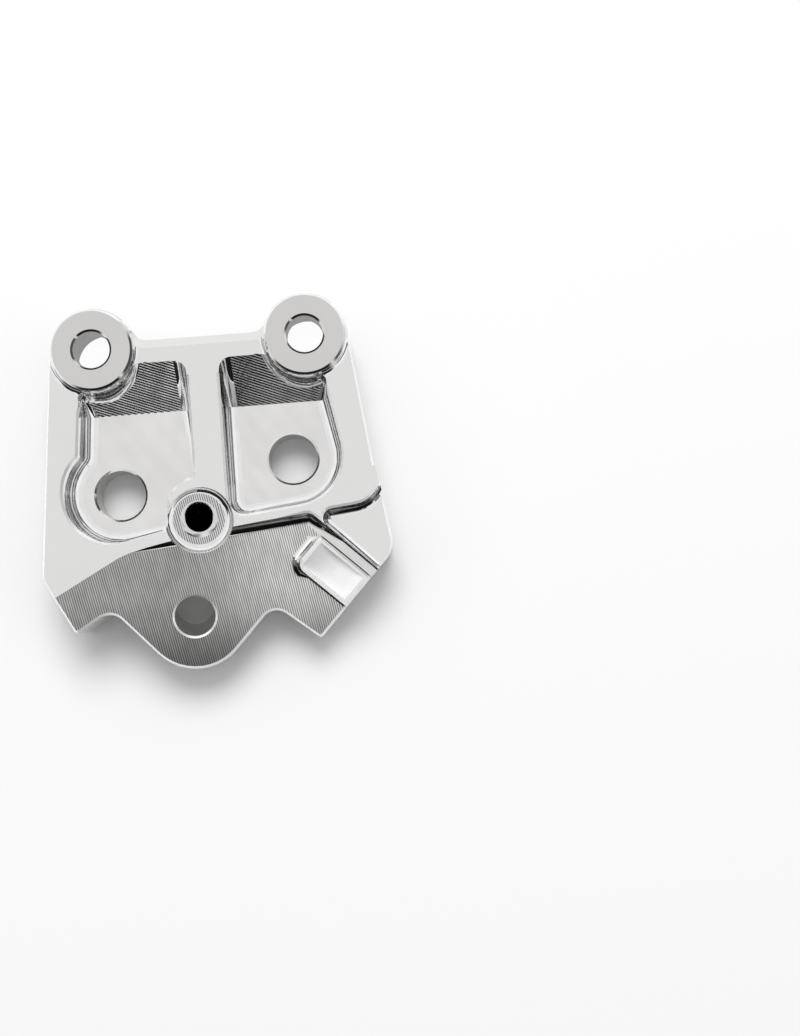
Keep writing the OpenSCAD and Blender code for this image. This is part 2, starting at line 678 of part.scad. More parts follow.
module bracket() {
    color("silver") difference() {
        union() {
            difference() {
                plan(plate_t);
                edges();
                back_edges();
            }
            boss(left_boss);
            boss(right_boss);
        }
        pocket(left_wall, left_hub);
        pocket(right_wall, right_hub);
        ramp_passes(left_wall, left_boss[0] + boss_r);
        ramp_passes(right_wall, right_boss[0] - boss_r);
        boss_bore(left_boss);
        boss_bore(right_boss);
        floor_bore(left_bore);
        floor_bore(right_bore);
        difference() {
            seat_cutter();
            block();
        }
        corner_cutter();
        pivot_bore();
        tapped_hole();
    }
}

bracket();
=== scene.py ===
"""Looks of the foot peg bracket: one milled aluminium piece under soft studio light.

The bracket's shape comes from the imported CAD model. This script welds that mesh, sorts its faces
by the cut that made them, gives each cut its own finish, and adds the thread, the floor, the
light and the camera. Lengths in the dataclasses are in millimetres and are turned to metres once.
"""

from __future__ import annotations

import logging
import math
from dataclasses import dataclass
from enum import Enum
from typing import Sequence

import bmesh
import bpy
from mathutils import Matrix, Vector


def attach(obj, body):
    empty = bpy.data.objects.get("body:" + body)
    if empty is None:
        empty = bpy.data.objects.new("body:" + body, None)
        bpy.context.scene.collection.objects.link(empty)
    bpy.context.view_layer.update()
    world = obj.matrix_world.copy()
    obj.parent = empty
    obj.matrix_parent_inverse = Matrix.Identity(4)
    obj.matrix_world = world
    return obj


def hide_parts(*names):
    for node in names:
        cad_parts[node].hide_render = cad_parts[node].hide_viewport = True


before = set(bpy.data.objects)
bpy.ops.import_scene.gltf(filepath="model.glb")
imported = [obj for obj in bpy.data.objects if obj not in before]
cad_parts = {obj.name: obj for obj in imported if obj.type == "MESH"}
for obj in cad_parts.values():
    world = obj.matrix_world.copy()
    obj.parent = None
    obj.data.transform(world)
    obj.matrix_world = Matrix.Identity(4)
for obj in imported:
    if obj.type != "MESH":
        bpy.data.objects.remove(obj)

LOG = logging.getLogger("bracket")
MM = 0.001
# Nearly all values of a noise texture lie between these two.
NOISE_SPAN = (0.3, 0.7)
Socket = bpy.types.NodeSocket


def linear(hex_colour: str) -> tuple[float, float, float, float]:
    """Turns an sRGB colour into the linear colour that a shader takes.

    Args:
        hex_colour: Colour written as #rrggbb.

    Returns:
        Linear red, green, blue and an alpha of one.
    """
    channels = [int(hex_colour[i : i + 2], 16) / 255.0 for i in (1, 3, 5)]
    low = [c / 12.92 if c <= 0.04045 else ((c + 0.055) / 1.055) ** 2.4 for c in channels]
    return (low[0], low[1], low[2], 1.0)


class Cut(Enum):
    """The cuts that made the faces of the bracket."""

    FACE = "fly_cut_face"
    BOSS = "boss_face"
    SEAT = "end_milled_seat"
    SPOT = "spot_faced_ring"
    RAMP = "ball_nose_ramp"
    FLOOR = "pocket_floor"
    WALL = "side_milled_wall"
    BORE = "bored_hole"
    TAP = "tapped_hole"
    RECESS = "blended_recess"
    GROOVE = "slot_milled_groove"
    CHAMFER = "milled_chamfer"
    FOOT = "corner_at_the_foot_of_a_step"
    EDGE = "bright_edge"
    SIDE = "profiled_side"
    BACK = "plain_back"


class Graph:
    """A node tree that adds one node or one link at a time."""

    def __init__(self, tree: bpy.types.NodeTree) -> None:
        """Empties the tree.

        Args:
            tree: Node tree of a material or of the world.
        """
        self.tree = tree
        tree.nodes.clear()

    def add(self, kind: str, inputs: dict | None = None, **settings: object) -> bpy.types.Node:
        """Adds a node, sets its properties and fills its sockets.

        Args:
            kind: Type name of the node.
            inputs: Socket name or index to a number, a colour or another node's output.
            **settings: Properties of the node itself.

        Returns:
            The new node.
        """
        node = self.tree.nodes.new(kind)
        for name, value in settings.items():
            setattr(node, name, value)
        for socket, value in (inputs or {}).items():
            if isinstance(value, Socket):
                self.tree.links.new(value, node.inputs[socket])
            else:
                node.inputs[socket].default_value = value
        return node

    def math(self, operation: str, *values: Socket | float) -> Socket:
        """Adds a scalar sum, product or other operation.

        Args:
            operation: Name of the operation.
            *values: Numbers or outputs, in the order of the node's sockets.

        Returns:
            The node's output.
        """
        node = self.add("ShaderNodeMath", dict(enumerate(values)), operation=operation)
        return node.outputs[0]

    def step(
        self, value: Socket, low: float, high: float, start: float = 0.0, end: float = 1.0
    ) -> Socket:
        """Maps a value smoothly from one range to another.

        Args:
            value: Output to map.
            low: Value that gives start.
            high: Value that gives end.
            start: Result at the low end.
            end: Result at the high end.

        Returns:
            The node's output.
        """
        node = self.add(
            "ShaderNodeMapRange",
            {0: value, 1: low, 2: high, 3: start, 4: end},
            interpolation_type="SMOOTHSTEP",
        )
        return node.outputs[0]


@dataclass(frozen=True)
class Lines:
    """Parallel marks that a cutter leaves.

    The turn is the direction across the marks, in degrees from X towards Y. The stray is how far
    the marks drift from straight, in pitches, and the streak is how much their tone varies. The
    groove is the part of each wave over which the tone changes. Drifts and streaks come at a rate
    to each mark, and the stretch is their width against their length.
    """

    pitch: float
    turn: float
    contrast: float
    stray: float
    streak: float = 0.0
    groove: tuple[float, float] = (0.2, 0.8)
    drift_rate: float = 0.25
    drift_stretch: float = 0.06
    streak_rate: float = 0.55
    streak_stretch: float = 0.05


@dataclass(frozen=True)
class PaintedShade:
    """A slow change of tone across a surface, which paints shade on it."""

    start: tuple[float, float]
    end: tuple[float, float]
    at_start: float
    at_end: float


@dataclass(frozen=True)
class Finish:
    """One machined finish of the aluminium."""

    name: str
    colour: str
    roughness: float
    mottle: float
    mottle_size: float
    lines: Sequence[Lines] = ()
    fades: Sequence[PaintedShade] = ()
    metallic: float = 1.0

    def material(self) -> bpy.types.Material:
        """Builds the material.

        Returns:
            A metal with default index of refraction, its marks laid out in real millimetres.
        """
        made = bpy.data.materials.new(self.name)
        made.use_nodes = True
        graph = Graph(made.node_tree)
        place = graph.add("ShaderNodeTexCoord").outputs["Object"]
        cloud = graph.add(
            "ShaderNodeTexNoise",
            {"Vector": place, "Scale": 1.0 / (self.mottle_size * MM), "Detail": 3.0},
        ).outputs["Fac"]
        shade = graph.step(cloud, *NOISE_SPAN, 1.0 - self.mottle, 1.0 + self.mottle)
        # Each fade paints shade across the surface.
        for fade in self.fades:
            shade = graph.math("MULTIPLY", shade, self._painted_shade(graph, place, fade))
        for marks in self.lines:
            wave = self._wave(graph, place, marks)
            tone = graph.step(wave, *marks.groove, 1.0 - marks.contrast, 1.0)
            shade = graph.math("MULTIPLY", shade, tone)
            if marks.streak:
                streaks = self._streaks(graph, place, marks)
                shade = graph.math("MULTIPLY", shade, streaks)
        grey = graph.add("ShaderNodeCombineColor", {0: shade, 1: shade, 2: shade}).outputs[0]
        # Sockets 6 and 7 and output 2 are the ones that the node uses for colours.
        tint = graph.add(
            "ShaderNodeMix",
            {"Factor": 1.0, 6: linear(self.colour), 7: grey},
            data_type="RGBA",
            blend_type="MULTIPLY",
        )
        shader = graph.add(
            "ShaderNodeBsdfPrincipled",
            {
                "Base Color": tint.outputs[2],
                "Metallic": self.metallic,
                "Roughness": self.roughness,
            },
        )
        graph.add("ShaderNodeOutputMaterial", {"Surface": shader.outputs[0]})
        return made

    @staticmethod
    def _painted_shade(graph: Graph, place: Socket, fade: PaintedShade) -> Socket:
        """Makes a slow change of tone that paints shade.

        Args:
            graph: Node tree to add to.
            place: Output with the place on the part, in metres.
            fade: Where the change starts and ends.

        Returns:
            Output with the tone.
        """
        run = Vector(fade.end) - Vector(fade.start)
        way = (run.x / run.length_squared / MM, run.y / run.length_squared / MM, 0.0)
        along = graph.add(
            "ShaderNodeVectorMath", {0: place, 1: way}, operation="DOT_PRODUCT"
        ).outputs["Value"]
        offset = Vector(fade.start).dot(run) / run.length_squared
        share = graph.math("SUBTRACT", along, offset)
        return graph.step(share, 0.0, 1.0, fade.at_start, fade.at_end)

    @staticmethod
    def _turned(graph: Graph, place: Socket, marks: Lines, shrink: float) -> Socket:
        """Turns the place so that X runs across the marks, and shrinks it along them.

        Args:
            graph: Node tree to add to.
            place: Output with the place on the part, in metres.
            marks: Pitch and direction of the marks.
            shrink: Scale along the marks.

        Returns:
            Output with the turned place.
        """
        turned = graph.add(
            "ShaderNodeVectorRotate",
            {"Vector": place, "Angle": math.radians(-marks.turn)},
            rotation_type="Z_AXIS",
        ).outputs[0]
        return graph.add(
            "ShaderNodeVectorMath", {0: turned, 1: (1.0, shrink, 1.0)}, operation="MULTIPLY"
        ).outputs[0]

    def _streaks(self, graph: Graph, place: Socket, marks: Lines) -> Socket:
        """Makes long streaks that lie along the marks.

        Args:
            graph: Node tree to add to.
            place: Output with the place on the part, in metres.
            marks: Pitch and direction of the marks.

        Returns:
            Output with the tone of the streaks.
        """
        long = self._turned(graph, place, marks, marks.streak_stretch)
        noise = graph.add(
            "ShaderNodeTexNoise",
            {"Vector": long, "Scale": marks.streak_rate / (marks.pitch * MM), "Detail": 2.0},
        ).outputs["Fac"]
        return graph.step(noise, *NOISE_SPAN, 1.0 - marks.streak, 1.0 + marks.streak)

    def _wave(self, graph: Graph, place: Socket, marks: Lines) -> Socket:
        """Makes a field of parallel marks.

        Args:
            graph: Node tree to add to.
            place: Output with the place on the part, in metres.
            marks: Pitch and direction of the marks.

        Returns:
            Output that runs from nought to one across each mark.
        """
        turned = self._turned(graph, place, marks, marks.drift_stretch)
        drift = graph.add(
            "ShaderNodeTexNoise",
            {"Vector": turned, "Scale": marks.drift_rate / (marks.pitch * MM), "Detail": 2.0},
        ).outputs["Fac"]
        across = graph.add("ShaderNodeSeparateXYZ", {0: turned}).outputs[0]
        phase = graph.math("MULTIPLY", across, math.tau / (marks.pitch * MM))
        shift = graph.math("MULTIPLY", drift, math.tau * marks.stray)
        sine = graph.math("SINE", graph.math("ADD", phase, shift))
        return graph.math("MULTIPLY_ADD", sine, 0.5, 0.5)


# The colours are those of bare aluminium under each tool, as sRGB. Where a comment below says so,
# a colour or a fade also paints light or shade.
FINISHES: dict[Cut, Finish] = {
    # A fly cutter's wide, shallow sweep leaves an even light grey sheen.
    Cut.FACE: Finish("fly_cut_aluminium", "#f0f0ef", 0.16, 0.006, 12.0),
    # The boss faces are turned flat by a smaller cutter and read a shade darker.
    Cut.BOSS: Finish("spot_cut_aluminium", "#dedddc", 0.16, 0.008, 9.0),
    # Close passes of an end mill, 0.545 mm apart: fine lines that break up the reflection and
    # read as mid grey. The two fades paint shade on the seat, darkest on the lobe at its lower
    # end, and darker towards its left side.
    Cut.SEAT: Finish(
        "end_milled_aluminium_and_painted_shade",
        "#f3f2f1",
        0.28,
        0.04,
        7.0,
        (Lines(0.545, 10.0, 0.62, 0.28, 0.08),),
        (
            PaintedShade((0.0, -84.0), (0.0, -58.0), 0.3, 1.0),
            PaintedShade((-8.0, 0.0), (16.0, 0.0), 0.62, 1.0),
        ),
    ),
    # The spot facing cutter leaves stronger lines of the same kind.
    Cut.SPOT: Finish(
        "spot_faced_aluminium", "#e8e8e8", 0.2, 0.05, 4.0, (Lines(0.52, 10.0, 0.7, 0.24),)
    ),
    # A ball-nose cutter leaves polished grooves: each one holds a bright and a dark stripe. The
    # fade paints shade on the right ramp, at 0.62 of the left ramp's tone, so it reads darker.
    Cut.RAMP: Finish(
        "ball_nose_aluminium_and_painted_shade",
        "#ffffff",
        0.03,
        0.02,
        3.0,
        fades=(PaintedShade((-3.0, 0.0), (3.0, 0.0), 1.0, 0.62),),
    ),
    # Floors finished with the end of the mill: satin, with faint broad passes.
    Cut.FLOOR: Finish(
        "pocket_floor_aluminium", "#f0efee", 0.2, 0.03, 9.0, (Lines(5.0, 35.0, 0.02, 2.4),)
    ),
    # Walls cut by the side of the mill are smooth enough to mirror what is round them.
    Cut.WALL: Finish("side_milled_aluminium", "#f3f3f3", 0.07, 0.03, 4.0),
    # The corner at the foot of a step gets a dark colour that paints the shade in the crease, so
    # it reads as a dark line.
    Cut.FOOT: Finish("step_foot_painted_shade", "#7c7c7b", 0.12, 0.06, 1.5),
    # Bored walls are satin and read darker, deep in the hole.
    Cut.BORE: Finish("bored_aluminium", "#d6d5d4", 0.2, 0.05, 3.0),
    # The tapped hole is deep and full of thread, so hardly any light comes back out; its
    # near-black colour paints that shade on its walls and on the thread.
    Cut.TAP: Finish("tapped_hole_painted_shade", "#1c1c1c", 0.4, 0.05, 3.0),
    # The recess has faint passes across it 0.5 mm apart. Its white colour, only partly metal,
    # paints an even white sheen on top of its real reflection.
    Cut.RECESS: Finish(
        "blended_recess_painted_sheen",
        "#ffffff",
        0.5,
        0.02,
        2.0,
        (Lines(0.5, -44.0, 0.10, 0.4),),
        metallic=0.6,
    ),
    # The slot between the block and the low corner is milled to a soft satin.
    Cut.GROOVE: Finish("slot_milled_aluminium", "#f2f1f0", 0.3, 0.03, 4.0),
    # Deburred edges read as thin white lines: their near-white colour, only partly metal, paints a
    # highlight on top of their real reflection.
    Cut.EDGE: Finish("deburred_edge_painted_highlight", "#fbfbfb", 0.2, 0.02, 2.0, metallic=0.55),
    # The wide chamfer between the bosses is milled like the face.
    Cut.CHAMFER: Finish("chamfered_aluminium", "#e4e4e3", 0.16, 0.01, 6.0),
    # The outer profile is side-milled in one pass.
    Cut.SIDE: Finish("profile_milled_aluminium", "#e6e6e5", 0.2, 0.04, 7.0),
    # The back keeps the stock's faced surface, with faint passes 1.2 mm apart.
    Cut.BACK: Finish(
        "faced_aluminium", "#e0e0df", 0.26, 0.04, 9.0, (Lines(1.2, 0.0, 0.05, 0.8),)
    ),
}


@dataclass(frozen=True)
class Shading:
    """Corner normals that keep flats flat and let the radii between them shade smoothly."""

    smooth_angle: float

    def corner_normals(self, work: bmesh.types.BMesh) -> list[Vector]:
        """Finds the normal of each corner of each face.

        A corner takes the mean of the faces that meet it without a sharp edge between them. Each
        counts as much as the whole flat that it belongs to, so a large flat keeps its own normal.

        Args:
            work: Mesh in metres, with up-to-date normals.

        Returns:
            Normals in the order of the faces and their corners.
        """
        work.normal_update()
        keys = {face: self._flat_of(face) for face in work.faces}
        areas: dict[tuple[float, ...], float] = {}
        for face, key in keys.items():
            areas[key] = areas.get(key, 0.0) + face.calc_area()
        limit = math.radians(self.smooth_angle)
        found: dict[tuple[bmesh.types.BMFace, bmesh.types.BMVert], Vector] = {}
        for vert in work.verts:
            left = set(vert.link_faces)
            while left:
                fan = self._fan(vert, left, limit)
                total = Vector()
                for face in fan:
                    total += face.normal * areas[keys[face]]
                for face in fan:
                    found[face, vert] = total.normalized()
        return [found[face, loop.vert] for face in work.faces for loop in face.loops]

    @staticmethod
    def _flat_of(face: bmesh.types.BMFace) -> tuple[float, ...]:
        """Names the flat that a face belongs to.

        Args:
            face: The face.

        Returns:
            Its rounded normal and its rounded distance from the origin.
        """
        offset = face.normal.dot(face.calc_center_median()) / MM
        return (*(round(value, 2) for value in face.normal), round(offset, 1))

    @staticmethod
    def _fan(
        vert: bmesh.types.BMVert, left: set[bmesh.types.BMFace], limit: float
    ) -> list[bmesh.types.BMFace]:
        """Takes one group of faces that meet at a corner without a sharp edge between them.

        Args:
            vert: The corner.
            left: Faces at the corner that are in no group yet; the group is taken out of it.
            limit: Angle above which an edge is sharp, in radians.

        Returns:
            The faces of the group.
        """
        fan = [left.pop()]
        for face in fan:
            for edge in face.edges:
                if vert not in edge.verts or edge.calc_face_angle(math.pi) > limit:
                    continue
                for other in edge.link_faces:
                    if other in left:
                        left.remove(other)
                        fan.append(other)
        return fan


@dataclass(frozen=True)
class Sizes:
    """Sizes and places of the bracket's features, as the CAD model has them.

    A bore is its X, its Y and how far its wall and chamfer reach from its axis. Places on the
    seat are in the seat's own frame, and the block's recess is half its width and half its length.
    """

    face_z: float = 21.0
    boss_z: float = 23.6
    floor_z: float = 10.0
    corner_z: float = 16.8
    chamfer_foot_y: float = 0.0
    ramp_top_y: float = -3.8
    pocket_low: tuple[float, float] = (-37.0, -48.0)
    pocket_high: tuple[float, float] = (35.0, -1.0)
    pocket_end_y: float = -50.0
    boss_bores: tuple[tuple[float, float, float], ...] = ((-26.0, 0.0, 7.8), (26.0, 0.0, 7.8))
    floor_bores: tuple[tuple[float, float, float], ...] = ((-23.3, -34.8, 6.9), (20.4, -28.9, 6.9))
    seat_tilt: float = 13.0
    seat_turn: float = 28.0
    seat_end_y: float = -38.0
    pivot: tuple[float, float, float] = (-6.2, -66.5, 16.0)
    pivot_r: float = 5.1
    tap_on_seat: tuple[float, float] = (13.7, 19.6)
    spot_depth: float = 1.8
    spot_r: float = 6.4
    spot_wall_r: float = 8.0
    countersink_r: float = 5.0
    countersink_foot: float = 3.6
    step_foot: float = 1.6
    groove_x: float = 4.6
    block_height: float = 3.0
    block_turn: float = 18.0
    block_middle: tuple[float, float] = (34.65, -8.69)
    recess_half: tuple[float, float] = (3.7, 7.2)
    recess_floor: float = 0.9

    def seat_frame(self) -> Matrix:
        """Gives the frame of the seat: its origin on the pivot axis, Z out of the seat.

        Returns:
            The matrix from the seat's frame to the part's, in millimetres.
        """
        turn = Matrix.Rotation(math.radians(self.seat_turn), 4, "Z")
        tilt = Matrix.Rotation(math.radians(self.seat_tilt), 4, "X")
        return Matrix.Translation(self.pivot) @ turn @ tilt

    def from_block(self, local: Vector) -> Vector:
        """Gives a place as seen from the middle of the block.

        Args:
            local: Place in the seat's frame, in millimetres.

        Returns:
            The place across and along the block.
        """
        turn = Matrix.Rotation(math.radians(-self.block_turn), 2)
        return turn @ (local.xy - Vector(self.block_middle))


@dataclass(frozen=True)
class Sorter:
    """Tells which cut made a face, from its place and its normal.

    Levels and slopes are bounds on one component of the normal. Skin, near and the depths are
    distances that a face may lie from the flat or the mouth that it is held against.
    """

    sizes: Sizes
    skin: float = 0.02
    near: float = 0.1
    level: float = 0.999
    upright: float = 0.05
    back_level: float = -0.9
    seat_level: float = 0.985
    seat_skin: float = 0.06
    seat_edge: float = 0.55
    seat_edge_slope: tuple[float, float] = (0.4, 0.95)
    spot_level: float = 0.9995
    pivot_mouth: float = 0.4
    tap_level: float = 0.5
    chamfer_slope: tuple[float, float] = (0.5, 0.9)
    bore_level: float = 0.2
    bore_mouth: float = 0.3
    ramp_slope: float = 0.25
    ramp_scallop: float = 0.35
    edge: float = 0.8
    edge_slope: tuple[float, float] = (0.45, 0.93)
    look_ahead: float = 3.0

    def cut_of(self, centre: Vector, normal: Vector) -> Cut:
        """Tells which cut made a face.

        Args:
            centre: Centre of the face, in millimetres.
            normal: Normal of the face.

        Returns:
            The cut.
        """
        if normal.z < self.back_level and centre.z < self.near:
            return Cut.BACK
        found = (
            self._cut_at_seat(centre, normal)
            or self._cut_in_plate(centre, normal)
            or self._cut_at_edge(centre, normal)
        )
        if found:
            return found
        outside = abs(normal.z) < self.upright and not self._in_pocket(centre, normal)
        return Cut.SIDE if outside else Cut.WALL

    def _cut_at_seat(self, centre: Vector, normal: Vector) -> Cut | None:
        """Tells which cut made a face of the seat, its holes or the block on it.

        Args:
            centre: Centre of the face, in millimetres.
            normal: Normal of the face.

        Returns:
            The cut, or None for a face elsewhere.
        """
        sizes = self.sizes
        seat = sizes.seat_frame()
        local = seat.inverted() @ centre
        tilted = normal.dot((seat.to_3x3() @ Vector((0.0, 0.0, 1.0))).normalized())
        from_tap = (local.xy - Vector(sizes.tap_on_seat)).length
        from_block = sizes.from_block(local)
        if tilted > self.seat_level and abs(local.z) < self.seat_skin:
            return Cut.GROOVE if from_block.x > sizes.groove_x else Cut.SEAT
        low, high = self.seat_edge_slope
        if -self.seat_edge < local.z < -self.skin and low < tilted < high:
            if not self._looks_into_pocket(centre, normal):
                return Cut.EDGE
        half_x, half_y = sizes.recess_half
        on_recess = abs(from_block.x) < half_x and abs(from_block.y) < half_y
        if on_recess and sizes.recess_floor < local.z < sizes.block_height - self.skin:
            return Cut.RECESS
        at_spot = abs(local.z + sizes.spot_depth) < self.near
        if at_spot and from_tap < sizes.spot_r and tilted > self.spot_level:
            return Cut.SPOT
        if local.xy.length < sizes.pivot_r and local.z < -self.pivot_mouth:
            return Cut.BORE
        if from_tap < sizes.countersink_r and local.z < -sizes.spot_depth - self.near:
            threaded = tilted < self.tap_level or local.z < -sizes.countersink_foot
            return Cut.TAP if threaded else Cut.WALL
        below = -self.skin < local.z < sizes.step_foot and centre.y < sizes.seat_end_y
        facing = 0.0 < tilted < self.seat_level and normal.y < 0.0
        if below and facing and from_tap > sizes.spot_wall_r:
            return Cut.FOOT
        return None

    def _cut_in_plate(self, centre: Vector, normal: Vector) -> Cut | None:
        """Tells which cut made a face of the plate, its bosses, bores, floors or ramps.

        Args:
            centre: Centre of the face, in millimetres.
            normal: Normal of the face.

        Returns:
            The cut, or None for a face elsewhere.
        """
        sizes = self.sizes
        below_face = centre.z < sizes.face_z
        low, high = self.chamfer_slope
        if below_face and centre.y > sizes.chamfer_foot_y and low < normal.y < high:
            return Cut.CHAMFER
        in_wall = abs(normal.z) < self.bore_level and centre.z < sizes.boss_z - self.bore_mouth
        for x, y, reach in sizes.boss_bores + sizes.floor_bores:
            if in_wall and math.hypot(centre.x - x, centre.y - y) < reach:
                return Cut.BORE
        if normal.z > self.level:
            if centre.z > sizes.boss_z - self.near:
                return Cut.BOSS
            if centre.z > sizes.corner_z - self.near:
                return Cut.FACE
            if abs(centre.z - sizes.floor_z) < self.near:
                return Cut.FLOOR
        above_ramp = (centre.z - sizes.face_z) + (sizes.ramp_top_y - centre.y)
        sloping = normal.z > self.ramp_slope and normal.y < -self.ramp_slope
        if below_face and sloping and abs(above_ramp) < self.ramp_scallop:
            return Cut.RAMP
        return None

    def _cut_at_edge(self, centre: Vector, normal: Vector) -> Cut | None:
        """Tells whether a face is a small chamfer; those of the bosses are cut as a wall is.

        Args:
            centre: Centre of the face, in millimetres.
            normal: Normal of the face.

        Returns:
            The cut, or None for a face elsewhere.
        """
        sizes = self.sizes
        low, high = self.edge_slope
        tops = (sizes.face_z, sizes.boss_z, sizes.corner_z)
        on_plate = any(top - self.edge < centre.z < top - self.skin for top in tops)
        below_block = sizes.block_height - (sizes.seat_frame().inverted() @ centre).z
        on_block = 0.0 < below_block < self.edge and centre.y < sizes.seat_end_y
        if low < normal.z < high and (on_plate or on_block):
            return Cut.WALL if centre.z > sizes.boss_z - self.edge else Cut.EDGE
        return None

    def _looks_into_pocket(self, centre: Vector, normal: Vector) -> bool:
        """Tells whether the place just ahead of a face is within the pockets' outline.

        Args:
            centre: Centre of the face, in millimetres.
            normal: Normal of the face.

        Returns:
            Whether it is.
        """
        ahead = centre + normal * self.look_ahead
        (low_x, low_y), (high_x, high_y) = self.sizes.pocket_low, self.sizes.pocket_high
        return low_x < ahead.x < high_x and low_y < ahead.y < high_y

    def _in_pocket(self, centre: Vector, normal: Vector) -> bool:
        """Tells whether a face is a wall of one of the two pockets.

        Args:
            centre: Centre of the face, in millimetres.
            normal: Normal of the face.

        Returns:
            Whether it is.
        """
        at_height = self.sizes.floor_z - 2.0 * self.near < centre.z < self.sizes.face_z
        beside_seat = centre.y > self.sizes.pocket_end_y
        return at_height and beside_seat and self._looks_into_pocket(centre, normal)


@dataclass
class Bracket:
    """The milled piece, with a finish for each cut."""

    sizes: Sizes
    node: str = "bracket"
    slot: str = "bright_aluminium"
    smooth_angle: float = 30.0
    weld: float = 0.002

    def build(self) -> bpy.types.Object:
        """Makes the shown bracket from the CAD mesh.

        Returns:
            The new object, which stands for the CAD node.
        """
        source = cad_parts[self.node]
        mesh = bpy.data.meshes.new("bracket_milled")
        work = bmesh.new()
        work.from_mesh(source.data)
        work.transform(source.matrix_world)
        bmesh.ops.remove_doubles(work, verts=work.verts, dist=self.weld * MM)
        sorter = Sorter(self.sizes)
        order = list(Cut)
        for face in work.faces:
            cut = sorter.cut_of(face.calc_center_median() / MM, face.normal)
            face.material_index = order.index(cut)
            face.smooth = True
        normals = Shading(self.smooth_angle).corner_normals(work)
        work.to_mesh(mesh)
        work.free()
        mesh.normals_split_custom_set(normals)
        for cut in order:
            mesh.materials.append(FINISHES[cut].material())
        shown = bpy.data.objects.new("bracket_milled", mesh)
        bpy.context.collection.objects.link(shown)
        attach(shown, "root")
        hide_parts(self.node)
        LOG.info("bracket: %d faces", len(mesh.polygons))
        return shown


@dataclass
class Thread:
    """The M8 thread in the tapped hole."""

    sizes: Sizes
    slot: str
    root_r: float = 3.55
    crest_r: float = 3.2
    pitch: float = 1.25
    top: float = -1.35
    half_ridge: float = 0.525
    turns: int = 8
    sides: int = 40

    def build(self) -> bpy.types.Object:
        """Makes the ridge of the thread as a helix with a triangular section.

        Returns:
            The new object.
        """
        work = bmesh.new()
        rows = []
        half = self.half_ridge
        for i in range(self.turns * self.sides + 1):
            turn = math.tau * i / self.sides
            z = self.top - half - self.pitch * i / self.sides
            section = ((self.root_r, half), (self.crest_r, 0.0), (self.root_r, -half))
            rows.append(
                [
                    work.verts.new((r * math.cos(turn), r * math.sin(turn), z + up))
                    for r, up in section
                ]
            )
        for a, b in zip(rows, rows[1:]):
            for j in range(3):
                k = (j + 1) % 3
                work.faces.new((a[j], a[k], b[k], b[j]))
        work.faces.new(rows[0])
        work.faces.new(tuple(reversed(rows[-1])))
        mouth = Matrix.Translation((*self.sizes.tap_on_seat, -self.sizes.spot_depth))
        place = self.sizes.seat_frame() @ mouth
        work.transform(Matrix.Scale(MM, 4) @ place)
        bmesh.ops.recalc_face_normals(work, faces=work.faces)
        mesh = bpy.data.meshes.new("tapped_thread")
        work.to_mesh(mesh)
        work.free()
        # The thread takes the tapped hole's near-black colour, which paints the hole's shade on
        # it.
        mesh.materials.append(FINISHES[Cut.TAP].material())
        shown = bpy.data.objects.new("tapped_thread", mesh)
        bpy.context.collection.objects.link(shown)
        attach(shown, "root")
        LOG.info("thread: %d faces", len(mesh.polygons))
        return shown


@dataclass
class Floor:
    """The white paper that the bracket lies on.

    The paper shows white through the two boss bores, so a patch under each one glows for the
    camera and, at the given share, for the bore's bright wall.
    """

    sizes: Sizes
    size: float = 4000.0
    drop: float = 0.05
    colour: str = "#e4e4e4"
    patch_glow: float = 0.9
    patch_r: float = 9.0
    patch_share: float = 0.35

    def build(self) -> bpy.types.Object:
        """Makes the floor.

        Returns:
            The new object.
        """
        half = self.size * MM / 2.0
        mesh = bpy.data.meshes.new("paper")
        corners = [(-half, -half), (half, -half), (half, half), (-half, half)]
        mesh.from_pydata([(x, y, -self.drop * MM) for x, y in corners], [], [(0, 1, 2, 3)])
        made = bpy.data.materials.new("white_paper")
        made.use_nodes = True
        graph = Graph(made.node_tree)
        place = graph.add("ShaderNodeTexCoord").outputs["Object"]
        rays = graph.add("ShaderNodeLightPath").outputs
        camera, glossy = rays["Is Camera Ray"], rays["Is Glossy Ray"]
        seen = graph.math("MULTIPLY_ADD", glossy, self.patch_share, camera)
        glow = 0.0
        for x, y, _ in self.sizes.boss_bores:
            gap = graph.add(
                "ShaderNodeVectorMath",
                {0: place, 1: (x * MM, y * MM, -self.drop * MM)},
                operation="DISTANCE",
            ).outputs["Value"]
            near = graph.math("LESS_THAN", gap, self.patch_r * MM)
            patch = graph.math("MULTIPLY", near, seen)
            glow = graph.math("MULTIPLY_ADD", patch, self.patch_glow, glow)
        paper = graph.add(
            "ShaderNodeBsdfPrincipled",
            {
                "Base Color": linear(self.colour),
                "Roughness": 0.9,
                "Specular IOR Level": 0.0,
                "Emission Color": (1.0, 1.0, 1.0, 1.0),
                "Emission Strength": glow,
            },
        )
        graph.add("ShaderNodeOutputMaterial", {"Surface": paper.outputs[0]})
        mesh.materials.append(made)
        shown = bpy.data.objects.new("paper", mesh)
        bpy.context.collection.objects.link(shown)
        return shown


@dataclass(frozen=True)
class Gap:
    """A dark gap in the light tent, where the room shows through.

    Low and high are the sines of its elevation, towards is its direction in the plan, and fade
    holds the cosines of the angle off that direction between which it fades in.
    """

    low: float
    high: float
    level: float
    towards: tuple[float, float]
    fade: tuple[float, float]
    soft: float = 0.04


